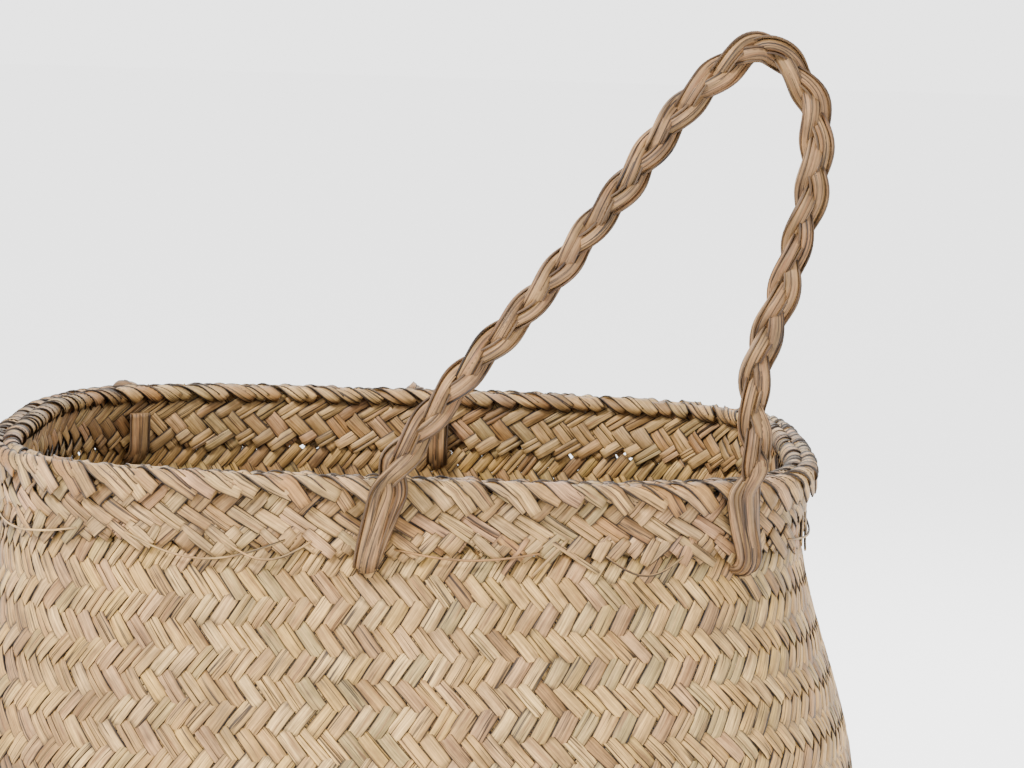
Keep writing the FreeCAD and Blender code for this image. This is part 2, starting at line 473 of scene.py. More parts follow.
@dataclass(frozen=True)
class BasketForm:
    """The basket's outer form, read from the frame."""

    mouth_half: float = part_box("collar_outer_band")[1][0]
    mouth_squareness: float = 3.6
    rim_top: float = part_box("rim_outer_twist")[1][2]
    neck_height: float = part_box("belly_wall")[1][2]
    belly_half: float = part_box("belly_wall")[1][0]
    belly_height: float = 182.0 * MM
    belly_squareness: float = 2.8
    base_half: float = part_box("base_mat")[1][0] + 4.3 * MM
    base_squareness: float = 3.2
    bowl_power: float = 2.2
    collar_step: float = 2.0 * MM

    def level(self, height: float) -> tuple[float, float]:
        """The wall's outer half-width and squareness.

        Args:
            height: Height above the floor.

        Returns:
            Half-width and superellipse exponent.
        """
        neck_half = self.mouth_half - self.collar_step
        if height <= self.belly_height:
            share = height / self.belly_height
            swell = 1.0 - (1.0 - share) ** self.bowl_power
            squareness = self.base_squareness + (self.belly_squareness - self.base_squareness) * share
            return self.base_half + (self.belly_half - self.base_half) * swell, squareness
        share = (self.neck_height - height) / (self.neck_height - self.belly_height)
        rounded = 0.5 - 0.5 * math.cos(math.pi * share)
        flare = 0.75 * rounded + 0.25 * math.sin(0.5 * math.pi * share)
        squareness = self.mouth_squareness + (self.belly_squareness - self.mouth_squareness) * share
        return neck_half + (self.belly_half - neck_half) * flare, squareness


@dataclass
class Twill:
    """A two-over, two-under plait on the bias, wrapped round the basket.

    Strips of one family climb to the right and those of the other to the left.
    Every strip passes over two and under two, and because the change happens at
    the same height all round, the floats lie in level herringbone rows.
    """

    name: str
    finish: bpy.types.Material
    seed: Seed
    count: int
    climb: float
    coverage: float
    thickness: float
    relief: float
    crown: float
    roll: float
    split_share: float
    steps_per_row: float
    pieces: int
    float_flatness: float = 2.3
    strips_per_repeat: float = 4.0

    def float_height(self, row: float) -> float:
        """How far a right-climbing strip stands out at one place along it.

        Args:
            row: Crossings passed since the lower edge.

        Returns:
            A number from -1, under, to 1, over.
        """
        wave = self.float_flatness * math.cos(math.tau * (row - 0.5) / self.strips_per_repeat)
        return max(-1.0, min(1.0, wave))

    def build(self, surface: Callable[[float, float], tuple[Vector, Vector]], rows: float,
              ragged: float) -> list[bpy.types.Object]:
        """Plaits both families over a surface.

        Args:
            surface: Gives a point and normal from a share round and a row up.
            rows: Number of crossings from the lower to the upper edge.
            ragged: How many rows a strip's ends may stop short or run over.

        Returns:
            The finished pieces.
        """
        draw = random.Random(self.seed.value)
        made = []
        for family, lean in (("right", self.climb), ("left", self.climb - 1.0)):
            over = 1.0 if family == "right" else -1.0
            for piece in range(self.pieces):
                leaves = Leaves(f"{self.name}_{family}_{piece + 1}", self.finish, self.thickness)
                first = self.count * piece // self.pieces
                last = self.count * (piece + 1) // self.pieces
                for strip in range(first, last):
                    self.lay_strip(leaves, draw, surface, strip, lean, over, rows, ragged)
                made.append(leaves.finished())
        return made

    def lay_strip(self, leaves: Leaves, draw: random.Random,
                  surface: Callable[[float, float], tuple[Vector, Vector]], strip: int,
                  lean: float, over: float, rows: float, ragged: float) -> None:
        """Lays one strip, or two narrow ones side by side where the leaf has split.

        Args:
            leaves: Piece that takes the ribbon.
            draw: Source of random numbers.
            surface: Gives a point and normal from a share round and a row up.
            strip: Number of the strip.
            lean: Pitches moved sideways per row.
            over: 1 or -1, which way the float pattern runs.
            rows: Rows from end to end.
            ragged: How much the ends vary.
        """
        start = draw.uniform(-0.5, 0.5) * ragged
        end = rows + draw.uniform(-0.5, 0.5) * ragged
        steps = max(4, round((end - start) * self.steps_per_row))
        centres = []
        normals = []
        pitches = []
        lies = []
        wander = draw.uniform(0.0, math.tau)
        for step in range(steps + 1):
            row = start + (end - start) * step / steps
            drift = 0.05 * math.sin(wander + row * 0.9)
            share = (strip + drift + lean * row) / self.count
            place, normal = surface(share, row)
            neighbour, _ = surface(share + 1.0 / self.count, row)
            stands = over * self.float_height(row)
            centres.append(place + normal * (stands * self.relief))
            normals.append(normal)
            pitches.append(neighbour - place)
            # Low where the strip dips between over and under; the finish darkens it there as painted
            # shade
            lies.append(abs(stands))
        sides = []
        spacings = []
        for step in range(steps + 1):
            ahead = centres[min(step + 1, steps)] - centres[max(step - 1, 0)]
            side = ahead.cross(normals[step]).normalized()
            spacings.append(abs(side.dot(pitches[step])))
            roll = self.roll * math.sin(2.0 * wander + step * 0.45)
            sides.append(side * math.cos(roll) + normals[step] * math.sin(roll))
            normals[step] = sides[step].cross(ahead).normalized()
        parts = ((0.0, 1.0),)
        if draw.random() < self.split_share:
            gap = draw.uniform(0.3, 0.5)
            parts = ((0.5 * (gap - 1.0), gap), (0.5 * gap, 1.0 - gap))
        tone = draw.random()
        full = self.coverage * draw.uniform(0.95, 1.03)
        for shift, share in parts:
            widths = []
            moved = []
            for step in range(steps + 1):
                pull = 1.0 + 0.05 * math.sin(wander * 3.0 + step * 0.7)
                widths.append(full * spacings[step] * share * pull)
                moved.append(centres[step] + sides[step] * (shift * full * spacings[step]))
            part_tone = (tone + 0.04 * shift) % 1.0
            leaves.add(moved, sides, normals, widths, self.crown * share, part_tone, lies)


@dataclass
class BellyBody:
    """The plaited wall and the flat plaited bottom."""

    form: BasketForm
    finish: bpy.types.Material
    count: int = 160
    row_height: float = 5.46 * MM
    climb: float = 0.43
    coverage: float = 1.0
    strip_thickness: float = 0.7 * MM
    relief: float = 0.6 * MM
    crown: float = 0.14 * MM
    inset: float = 1.9 * MM
    foot_level: float = 1.6 * MM
    top_gap: float = 0.5 * MM
    turned_in: float = 10.0 * MM
    turned_drop: float = 0.3 * MM
    bottom_inset: float = 2.5 * MM
    bottom_pitch: float = 6.9 * MM
    bottom_width: float = 6.5 * MM
    bottom_level: float = 2.3 * MM
    bottom_relief: float = 0.55 * MM
    bottom_crown: float = 0.25 * MM
    levels: list[tuple[float, Outline, float]] = field(default_factory=list, init=False)
    levels_per_row: float = field(default=4.0, init=False)

    def measure(self) -> float:
        """Finds evenly spaced levels, from under the bottom's edge up the wall.

        Returns:
            The number of rows between the turned-in foot and the neck.
        """
        samples = 400
        lowest = self.foot_level
        highest = self.form.neck_height - self.top_gap
        foot_half, foot_squareness = self.form.level(lowest)
        turned_half = foot_half - self.inset - self.turned_in
        profile = [(lowest - self.turned_drop, turned_half, foot_squareness)]
        for step in range(samples + 1):
            height = lowest + (highest - lowest) * step / samples
            half, squareness = self.form.level(min(height, self.form.neck_height))
            profile.append((height, half - self.inset, squareness))
        lengths = [0.0]
        for first, second in zip(profile, profile[1:]):
            lengths.append(lengths[-1] + math.hypot(second[0] - first[0], second[1] - first[1]))
        rows = lengths[-1] / self.row_height
        count = round(rows * self.levels_per_row)
        for step in range(count + 1):
            length = lengths[-1] * step / count
            index = min(bisect_right(lengths, length) - 1, len(profile) - 2)
            part = (length - lengths[index]) / (lengths[index + 1] - lengths[index])
            below, above = profile[index], profile[index + 1]
            height, half, squareness = (a + (b - a) * part for a, b in zip(below, above))
            slope = (above[1] - below[1]) / (above[0] - below[0])
            self.levels.append((height, Outline(half, squareness), slope))
        self.levels_per_row = count / rows
        return rows

    def surface(self, share: float, row: float) -> tuple[Vector, Vector]:
        """A point of the wall's middle surface.

        Args:
            share: Share of the way round.
            row: Rows up from the turned-in foot.

        Returns:
            The point and its outward normal.
        """
        place = max(0.0, min(row * self.levels_per_row, len(self.levels) - 1.001))
        index = int(place)
        part = place - index
        height, outline, slope = self.levels[index]
        height_above, outline_above, slope_above = self.levels[index + 1]
        low, low_normal = outline.at(share)
        high, high_normal = outline_above.at(share)
        point = low.lerp(high, part)
        point.z = height + (height_above - height) * part
        normal = low_normal.lerp(high_normal, part)
        normal.z = -(slope + (slope_above - slope) * part)
        return point, normal.normalized()

    def build_wall(self) -> None:
        """Plaits the wall and puts it on the basket."""
        rows = self.measure()
        weave = Twill(
            "wall_strips", self.finish, Seed.WALL, count=self.count, climb=self.climb,
            coverage=self.coverage, thickness=self.strip_thickness, relief=self.relief,
            crown=self.crown, roll=0.06, split_share=0.3, steps_per_row=2.0, pieces=2)
        for piece in weave.build(self.surface, rows, ragged=0.6):
            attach(piece, "basket")
            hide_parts("belly_wall")

    def build_bottom(self) -> None:
        """Plaits the flat bottom from two families of straight strips."""
        draw = random.Random(Seed.BOTTOM.value)
        outline = Outline(self.form.base_half - self.bottom_inset, self.form.base_squareness)
        # The strips run corner to corner, and the rounded corners reach past the sides
        reach = self.form.base_half * 1.25
        pitch = self.bottom_pitch
        for family, angle in (("right", 0.25 * math.pi), ("left", -0.25 * math.pi)):
            along = Vector((math.cos(angle), math.sin(angle), 0.0))
            side = Vector((along.y, -along.x, 0.0))
            over = 1.0 if family == "right" else -1.0
            leaves = Leaves(f"bottom_strips_{family}", self.finish, self.strip_thickness)
            number = int(reach / pitch)
            for strip in range(-number, number + 1):
                half = self.chord(outline, side * (strip * pitch), along)
                if half < 2.0 * pitch:
                    continue
                steps = round(2.0 * half / (0.6 * pitch))
                centres = []
                lies = []
                for step in range(steps + 1):
                    run = -half + 2.0 * half * step / steps
                    phase = (run / pitch + over * strip) / 4.0
                    lift = over * max(-1.0, min(1.0, 1.6 * math.cos(math.tau * phase)))
                    place = side * (strip * pitch) + along * run
                    centres.append(place + UP * (self.bottom_level + lift * self.bottom_relief))
                    # Low where the strip dips between over and under; the finish darkens it there as
                    # painted shade
                    lies.append(abs(lift))
                count = len(centres)
                width = self.bottom_width * draw.uniform(0.94, 1.02)
                leaves.add(
                    centres, [side] * count, [UP] * count, [width] * count, self.bottom_crown,
                    draw.random(), lies)
            piece = leaves.finished()
            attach(piece, "basket")
            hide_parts("base_mat")

    def chord(self, outline: Outline, start: Vector, along: Vector) -> float:
        """Half the length of a strip across the bottom.

        Args:
            outline: Edge of the bottom.
            start: Middle of the strip.
            along: Its direction.

        Returns:
            Distance from the middle to the edge, or 0 when the middle is outside.
        """
        squareness = self.form.base_squareness
        limit = outline.points[0].length ** squareness
        farthest = 0.5
        halvings = 30
        low, high = 0.0, farthest
        if abs(start.x) ** squareness + abs(start.y) ** squareness > limit:
            return 0.0
        for _ in range(halvings):
            middle = 0.5 * (low + high)
            end = start + along * middle
            mirrored = start - along * middle
            outside = max(abs(p.x) ** squareness + abs(p.y) ** squareness for p in (end, mirrored))
            low, high = (low, middle) if outside > limit else (middle, high)
        return low


@dataclass
class Collar:
    """The coarse double collar with its two twisted edges and ragged strip ends."""

    form: BasketForm
    finish: bpy.types.Material
    count: int = 116
    row_height: float = 4.15 * MM
    climb: float = 0.37
    coverage: float = 1.04
    strip_thickness: float = 0.7 * MM
    relief: float = 0.7 * MM
    crown: float = 0.22 * MM
    lower_edge_drop: float = 0.5 * MM
    upper_edge_gap: float = 3.0 * MM
    outer_depth: float = 1.7 * MM
    inner_depth: float = 1.9 * MM
    edge_radius: float = 3.0 * MM
    edge_inset: float = 2.8 * MM
    edge_thickness: float = 0.8 * MM
    wrap_pitch: float = 9.6 * MM
    hidden_end: float = 6.0 * MM
    fibres: int = 16
    fibre_width: float = 0.8 * MM

    def layer(self, half: float, node: str, name: str, seed: Seed) -> None:
        """Plaits one layer of the collar.

        Args:
            half: Half-width of the layer's middle surface.
            node: CAD node that it stands for.
            name: Name of the pieces.
            seed: Start of its random numbers.
        """
        outline = Outline(half, self.form.mouth_squareness)
        lowest = self.form.neck_height - self.lower_edge_drop
        highest = self.form.rim_top - self.upper_edge_gap

        def surface(share: float, row: float) -> tuple[Vector, Vector]:
            """A point of the layer and its normal, from a share round and a row up."""
            point, normal = outline.at(share)
            return point + UP * (lowest + row * self.row_height), normal

        rows = (highest - lowest) / self.row_height
        weave = Twill(
            name, self.finish, seed, count=self.count, climb=self.climb, coverage=self.coverage,
            thickness=self.strip_thickness, relief=self.relief, crown=self.crown, roll=0.16,
            split_share=0.35, steps_per_row=2.5, pieces=1)
        for piece in weave.build(surface, rows, ragged=1.1):
            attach(piece, "basket")
            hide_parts(node)

    def twisted_edge(self, centre_half: float, node: str, name: str, seed: Seed) -> None:
        """Wraps skewed leaves over the top of one layer, like the lay of a rope.

        Args:
            centre_half: Half-width of the edge's centre line.
            node: CAD node that it stands for.
            name: Name of the piece.
            seed: Start of its random numbers.
        """
        draw = random.Random(seed.value)
        outline = Outline(centre_half, self.form.mouth_squareness)
        level = self.form.rim_top - self.edge_radius
        leaves = Leaves(name, self.finish, self.edge_thickness)
        wraps = round(outline.perimeter / self.wrap_pitch)
        steps = 16
        # Each leaf's first quarter hangs down the outside, the rest rolls over the edge
        hanging = 0.25
        rolled = math.radians(215.0)
        for wrap in range(wraps):
            middle = (wrap + draw.uniform(-0.3, 0.3)) / wraps
            skew = draw.uniform(20.0, 33.0) * MM / outline.perimeter
            tail = draw.uniform(3.0, 9.0) * MM
            girth = self.edge_radius * draw.uniform(0.8, 1.25)
            centres = []
            normals = []
            for step in range(steps + 1):
                share = step / steps
                point, outward = outline.at(middle + skew * (0.5 - share))
                if share < hanging:
                    drop = tail * (1.0 - share / hanging)
                    place = point + outward * girth + UP * (level - drop)
                    normal = outward.copy()
                else:
                    angle = rolled * (share - hanging) / (1.0 - hanging)
                    normal = outward * math.cos(angle) + UP * math.sin(angle)
                    place = point + normal * girth + UP * level
                centres.append(place)
                normals.append(normal)
            width = draw.uniform(6.6, 8.4) * MM
            # Painted shade at the lower end, where the leaf tucks into the collar
            self.add_leaf(
                leaves, centres, normals, width, draw.random(), crown=0.5 * MM, tucked=0.45)
        piece = leaves.finished()
        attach(piece, "basket")
        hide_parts(node)

    def add_leaf(self, leaves: Leaves, centres: list[Vector], normals: list[Vector], width: float,
                 tone: float, crown: float, tucked: float) -> None:
        """Adds a short leaf whose ends taper a little and get painted shade where they are tucked in.

        Args:
            leaves: Piece that takes it.
            centres: Points along it.
            normals: Rough face directions at those points.
            width: Full width.
            tone: Colour number from 0 to 1.
            crown: Rise of its middle.
            tucked: How clear of painted shade its first end is, from 0 for hidden to 1 for clear.
        """
        last = len(centres) - 1
        sides = []
        faces = []
        widths = []
        lies = []
        for index in range(last + 1):
            ahead = centres[min(index + 1, last)] - centres[max(index - 1, 0)]
            side = ahead.cross(normals[index]).normalized()
            sides.append(side)
            faces.append(side.cross(ahead).normalized())
            widths.append(width * (0.82 + 0.18 * math.sin(math.pi * index / last)))
            # Painted shade fades out along the first part of the leaf
            lies.append(min(1.0, tucked + 2.5 * index / last))
        leaves.add(centres, sides, faces, widths, crown, tone, lies)

    def strip_ends(self) -> None:
        """Leaves the cut ends of strips sticking out under the collar."""
        draw = random.Random(Seed.CUT_ENDS.value)
        outline = Outline(self.form.mouth_half, self.form.mouth_squareness)
        leaves = Leaves("collar_cut_ends", self.finish, self.edge_thickness)
        for index in range(self.count):
            share = (index + draw.uniform(-0.3, 0.3)) / self.count
            long_end = draw.random() < 0.07
            length = (draw.uniform(7.0, 12.0) if long_end else draw.uniform(2.0, 5.5)) * MM
            lean = draw.choice((-0.75, 1.35)) + draw.uniform(-0.25, 0.25)
            lift = draw.uniform(0.1, 1.2) * MM
            width = draw.uniform(1.2, 3.2) * MM if long_end else draw.uniform(4.0, 6.8) * MM
            tone = draw.random()
            centres = []
            normals = []
            steps = 5
            for step in range(steps + 1):
                part = step / steps
                along = lean * (length + self.hidden_end) * part
                point, outward = outline.at(share + along / outline.perimeter)
                drop = (length + self.hidden_end) * part
                height = self.form.neck_height + self.hidden_end - drop
                half, _ = self.form.level(min(height, self.form.neck_height))
                stand = max(half - self.form.mouth_half, -1.2 * MM) + 0.2 * MM + lift * part
                centres.append(point + outward * stand + UP * height)
                normals.append(outward)
            # Painted shade on the end that comes out from under the collar
            self.add_leaf(leaves, centres, normals, width, tone, crown=0.3 * MM, tucked=0.2)
        self.loose_fibres(leaves, draw, outline)
        piece = leaves.finished()
        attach(piece, "basket")
        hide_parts("collar_strip_ends")

    def loose_fibres(self, leaves: Leaves, draw: random.Random, outline: Outline) -> None:
        """Adds thin fibres that have worked loose and curl just below the collar.

        Args:
            leaves: Piece that takes them.
            draw: Source of random numbers.
            outline: The collar's outer face.
        """
        for index in range(self.fibres):
            start = (index + draw.uniform(0.0, 0.6)) / self.fibres
            run = draw.uniform(25.0, 70.0) * MM / outline.perimeter
            sag = draw.uniform(2.0, 9.0) * MM
            top = self.form.neck_height + draw.uniform(-1.0, 4.0) * MM
            centres = []
            normals = []
            steps = 12
            for step in range(steps + 1):
                part = step / steps
                point, outward = outline.at(start + run * part)
                height = top - sag * math.sin(math.pi * part)
                half, _ = self.form.level(min(height, self.form.neck_height))
                gain = max(half - self.form.mouth_half, -1.5 * MM)
                stand = gain + (1.2 + 1.6 * math.sin(math.pi * part)) * MM
                centres.append(point + outward * stand + UP * height)
                normals.append(outward)
            self.add_leaf(
                leaves, centres, normals, self.fibre_width, draw.random(), crown=0.1 * MM, tucked=1.0)

    def build(self) -> None:
        """Builds both layers, both edges and the cut ends."""
        outer_half = self.form.mouth_half - self.outer_depth
        inner_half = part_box("collar_inner_band")[1][0] - self.inner_depth
        self.layer(outer_half, "collar_outer_band", "collar_outer", Seed.OUTER_BAND)
        self.layer(inner_half, "collar_inner_band", "collar_inner", Seed.INNER_BAND)
        outer_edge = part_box("rim_outer_twist")[1][0] - self.edge_inset
        inner_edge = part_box("rim_inner_twist")[1][0] - self.edge_inset
        self.twisted_edge(outer_edge, "rim_outer_twist", "rim_outer_edge", Seed.OUTER_EDGE)
        self.twisted_edge(inner_edge, "rim_inner_twist", "rim_inner_edge", Seed.INNER_EDGE)
        self.strip_ends()


@dataclass
class PlaitedHandle:
    """A three-strand handle whose ends hook through the wall under the collar."""

    form: BasketForm
    finish: bpy.types.Material
    name: str
    turn: Turn
    seed: Seed
    hinge_out: float = 12.304 * MM
    hinge_level: float = 343.5 * MM
    rise: float = 177.0 * MM
    spread: float = 3.3 * MM
    depth: float = 2.6 * MM
    pitch: float = 58.0 * MM
    strand_half_width: float = 2.5 * MM
    strand_half_depth: float = 1.3 * MM
    leaf_angles: tuple[float, ...] = (70.0, 110.0, 200.0, 270.0, 340.0)
    leaf_width: float = 4.8 * MM
    leaf_thickness: float = 0.8 * MM
    leaf_crown: float = 0.7 * MM
    leaf_step: float = 2.2 * MM
    arch_step: float = 2.5 * MM
    arch_points_left_out: int = 3
    bundle_gap: float = 4.0 * MM
    bundle_squeeze: float = 0.45
    bundle_fan: float = 0.6
    tie_out: float = 4.6 * MM
    foot_shifts: dict[Foot, tuple[float, float]] = field(
        default_factory=lambda: {
            Foot.LEFT: (-7.0 * MM, 1.5 * MM), Foot.RIGHT: (5.0 * MM, -1.0 * MM)})
    tie_back: float = -12.0 * MM
    tie_drop: float = 6.5 * MM
    outline: tuple[tuple[float, float], ...] = (
        (0.00, 0.00), (0.20, 0.23), (0.40, 0.43), (0.60, 0.66), (0.80, 0.89),
        (0.97, 1.00), (1.10, 0.89), (1.12, 0.74), (1.06, 0.48), (0.98, 0.23),
        (1.00, 0.00))

    def foot(self, foot: Foot) -> tuple[Vector, Vector, Vector]:
        """The collar's face at one foot.

        Args:
            foot: Which foot.

        Returns:
            The point on the collar's face, outward and sideways directions.
        """
        angle = math.radians(foot.value - 90.0)
        power = self.form.mouth_squareness
        reach = self.form.mouth_half / (
            abs(math.cos(angle)) ** power + abs(math.sin(angle)) ** power) ** (1.0 / power)
        point = Vector((reach * math.cos(angle), reach * math.sin(angle), 0.0))
        outward = Vector((
            math.copysign(abs(point.x) ** (power - 1.0), point.x),
            math.copysign(abs(point.y) ** (power - 1.0), point.y), 0.0)).normalized()
        return point, outward, Vector((-outward.y, outward.x, 0.0))

    def hinge(self) -> tuple[Vector, Vector, float]:
        """The line that the handle swings about.

        Returns:
            The left foot's point on it, its direction and the distance between the feet.
        """
        ends = []
        for foot in (Foot.LEFT, Foot.RIGHT):
            point, outward, _ = self.foot(foot)
            ends.append(point + outward * self.hinge_out + UP * self.hinge_level)
        along = ends[1] - ends[0]
        return ends[0], along.normalized(), along.length

    def arch(self) -> list[tuple[Vector, Vector]]:
        """The plait's centre line with the direction across it.

        Returns:
            Points about 2.5 mm apart, each with its unit side direction.
        """
        origin, along, span = self.hinge()
        through = along.cross(UP)
        knots = [origin + along * (x * span) + UP * (z * self.rise) for x, z in self.outline]
        line = smooth_line(knots, self.arch_step)
        placed = []
        for index, point in enumerate(line):
            ahead = line[min(index + 1, len(line) - 1)] - line[max(index - 1, 0)]
            placed.append((point, ahead.cross(through).normalized()))
        return placed

    def tie_route(self, foot: Foot, bundle: float, layer: float,
                  angle: float) -> list[tuple[Vector, Vector]]:
        """A leaf's way from inside the wall up to the rim.

        Args:
            foot: Which foot.
            bundle: Sideways place of the leaf's bundle.
            layer: Extra distance outward, for a bundle that lies on others.
            angle: Place of the leaf round its bundle, in radians.

        Returns:
            Points with side directions, from the tail inside to the rim.
        """
        point, outward, sideways = self.foot(foot)
        across = sideways if foot is Foot.LEFT else -sideways
        low_shift, high_shift = self.foot_shifts[foot]
        face = self.tie_out + layer
        # Distances outward and up: the tail inside, the way through the wall, the collar's face
        stops = (
            (self.tie_back, 23.0 * MM), (self.tie_back, 12.0 * MM), (self.tie_back + 0.5 * MM, 4.5 * MM),
            (-7.5 * MM, 0.2 * MM - layer), (-2.5 * MM, -0.3 * MM - layer), (1.5 * MM, 0.3 * MM - layer),
            (face - 0.6 * MM, 3.2 * MM), (face, 7.0 * MM), (face - 0.5 * MM, 14.0 * MM),
            (face - 0.6 * MM, 22.0 * MM), (face + 0.3 * MM, 30.0 * MM))
        top = stops[-1][1]
        route = []
        for index, (out, up) in enumerate(stops):
            before = stops[max(index - 1, 0)]
            after = stops[min(index + 1, len(stops) - 1)]
            turn = math.atan2(after[1] - before[1], after[0] - before[0])
            normal = outward * math.sin(turn) - UP * math.cos(turn)
            climbed = max(0.0, up / top) if out > 0.0 else 0.0
            level = self.form.neck_height - self.tie_drop + up
            place = point + outward * out + UP * level
            place += across * (bundle * (self.bundle_squeeze + self.bundle_fan * climbed))
            place += sideways * (low_shift + (high_shift - low_shift) * climbed)
            route.append(self.round_strand(place, across, normal, angle))
        return route

    def round_strand(self, centre: Vector, across: Vector, normal: Vector,
                     angle: float) -> tuple[Vector, Vector]:
        """Places a leaf on the outside of its flattened strand.

        Args:
            centre: Middle of the strand.
            across: Direction across it.
            normal: Direction through it.
            angle: Place of the leaf round the strand, in radians.

        Returns:
            The leaf's middle and its side direction.
        """
        cosine = math.cos(angle)
        sine = math.sin(angle)
        offset = across * (self.strand_half_width * cosine) + normal * (self.strand_half_depth * sine)
        return centre + offset, across * sine - normal * cosine

    def matrix(self, folds: bool) -> Matrix:
        """Takes the upright front handle to where this handle is at rest.

        Args:
            folds: Whether it is for the part that swings.

        Returns:
            A 4 by 4 matrix.
        """
        half_turn, fold = self.turn.value
        result = Matrix.Rotation(math.radians(half_turn), 4, "Z")
        if folds and fold:
            origin, along, _ = self.hinge()
            swing = Matrix.Rotation(math.radians(fold), 4, along)
            result = result @ Matrix.Translation(origin) @ swing @ Matrix.Translation(-origin)
        return result

    def strand(self, number: int, leaves: Leaves, draw: random.Random) -> None:
        """Adds the leaves of one strand, from tail to tail.

        Args:
            number: 0, 1 or 2.
            leaves: Piece that takes them.
            draw: Source of random numbers.
        """
        arch = self.arch()
        _, along, _ = self.hinge()
        through = along.cross(UP)
        turns = round(len(arch) * self.arch_step / self.pitch)
        trimmed = self.arch_points_left_out
        phase = math.tau * number / 3.0
        # Two strands lie side by side down the collar and the third on top of them
        bundle = (-1.0, 1.0, 0.0)[number] * self.bundle_gap
        layer = (0.0, 0.0, 1.5)[number] * MM
        tie_lie = 0.75
        fixed = self.matrix(False)
        folded = self.matrix(True)
        for leaf_angle in self.leaf_angles:
            facing = math.radians(leaf_angle + draw.uniform(-12.0, 12.0))
            points = []
            sides = []
            lies = []
            for point, side in self.tie_route(Foot.LEFT, bundle, layer, facing):
                points.append(fixed @ point)
                sides.append(fixed.to_3x3() @ side)
                lies.append(tie_lie)
            for index in range(trimmed, len(arch) - trimmed):
                centre, across = arch[index]
                angle = math.tau * turns * index / (len(arch) - 1) + phase
                weave = across * (self.spread * math.sin(angle))
                weave += through * (self.depth * math.sin(2.0 * angle))
                point, side = self.round_strand(centre + weave, across, through, facing)
                points.append(folded @ point)
                sides.append(folded.to_3x3() @ side)
                # Painted shade where the strand passes the middle of the plait, beside the strand that
                # lies over it
                lies.append(min(1.0, 0.2 + 2.0 * abs(math.sin(angle))))
            for point, side in reversed(self.tie_route(Foot.RIGHT, -bundle, layer, facing)):
                points.append(fixed @ point)
                sides.append(fixed.to_3x3() @ side)
                lies.append(tie_lie)
            self.lay_leaf(leaves, points, sides, lies, draw.random(), draw)

    def lay_leaf(self, leaves: Leaves, points: list[Vector], sides: list[Vector],
                 lies: list[float], tone: float, draw: random.Random) -> None:
        """Smooths a leaf's route and adds its ribbon.

        Args:
            leaves: Piece that takes it.
            points: Points along the route.
            sides: Rough side directions at those points.
            lies: How clear of its neighbours the leaf is at those points.
            tone: Colour number from 0 to 1.
            draw: Source of random numbers.
        """
        line, directions, clear = smooth_route(points, sides, lies, self.leaf_step)
        last = len(line) - 1
        faces = []
        widths = []
        squared = []
        wander = draw.uniform(0.0, math.tau)
        most_roll = math.radians(20.0)
        for index in range(last + 1):
            ahead = (line[min(index + 1, last)] - line[max(index - 1, 0)]).normalized()
            face = directions[index].cross(ahead).normalized()
            roll = most_roll * math.sin(wander + index * 0.16)
            side = ahead.cross(face).normalized()
            rolled = side * math.cos(roll) + face * math.sin(roll)
            squared.append(rolled)
            faces.append(rolled.cross(ahead).normalized())
            swell = 1.0 + 0.12 * math.sin(wander * 2.0 + index * 0.17)
            widths.append(self.leaf_width * swell)
        leaves.add(line, squared, faces, widths, self.leaf_crown, tone, clear)

    def build(self) -> None:
        """Builds the three strands; where a handle is folded at rest, its leaves bend at the fold."""
        draw = random.Random(self.seed.value)
        for number, letter in enumerate("abc"):
            leaves = Leaves(
                f"{self.name}_handle_leaves_{letter}", self.finish, self.leaf_thickness)
            self.strand(number, leaves, draw)
            piece = leaves.finished()
            nodes = [f"{self.name}_handle_strand_{letter}"]
            if letter in "ab":
                nodes += [f"{self.name}_handle_{end}_tie_{letter}" for end in ("left", "right")]
            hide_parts(*nodes)
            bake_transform(piece)


def smooth_line(knots: Sequence[Vector], spacing: float) -> list[Vector]:
    """Even points along a smooth curve through the knots.

    Args:
        knots: Points that the curve passes through.
        spacing: Rough distance between the points returned.

    Returns:
        The points, from the first knot to the last.
    """
    line, _, _ = smooth_route(knots, [UP] * len(knots), [1.0] * len(knots), spacing)
    return line


def smooth_route(knots: Sequence[Vector], sides: Sequence[Vector], lies: Sequence[float],
                 spacing: float) -> tuple[list[Vector], list[Vector], list[float]]:
    """Even points along a smooth curve, carrying a direction and a number with them.

    Args:
        knots: Points that the curve passes through.
        sides: A direction at each knot.
        lies: A number at each knot.
        spacing: Rough distance between the points returned.

    Returns:
        The points, the directions and the numbers there.
    """
    dense = []
    last = len(knots) - 1
    for index in range(last):
        before = knots[max(index - 1, 0)]
        start = knots[index]
        end = knots[index + 1]
        after = knots[min(index + 2, last)]
        length = (end - start).length
        leave = tangent(before, start, end) * length
        arrive = tangent(start, end, after) * length
        count = max(2, math.ceil(length / (0.4 * spacing)))
        for step in range(count):
            t = step / count
            point = (
                start * (2 * t ** 3 - 3 * t ** 2 + 1) + leave * (t ** 3 - 2 * t ** 2 + t)
                + end * (-2 * t ** 3 + 3 * t ** 2) + arrive * (t ** 3 - t ** 2))
            lie = lies[index] + (lies[index + 1] - lies[index]) * t
            dense.append((point, sides[index].lerp(sides[index + 1], t), lie))
    dense.append((knots[-1], sides[-1], lies[-1]))
    lengths = [0.0]
    for first, second in zip(dense, dense[1:]):
        lengths.append(lengths[-1] + (second[0] - first[0]).length)
    count = max(2, round(lengths[-1] / spacing))
    points = []
    directions = []
    numbers = []
    for step in range(count + 1):
        length = lengths[-1] * step / count
        index = min(bisect_right(lengths, length) - 1, len(dense) - 2)
        gap = lengths[index + 1] - lengths[index]
        part = (length - lengths[index]) / gap if gap > 0.0 else 0.0
        points.append(dense[index][0].lerp(dense[index + 1][0], part))
        directions.append(dense[index][1].lerp(dense[index + 1][1], part).normalized())
        numbers.append(dense[index][2] + (dense[index + 1][2] - dense[index][2]) * part)
    return points, directions, numbers


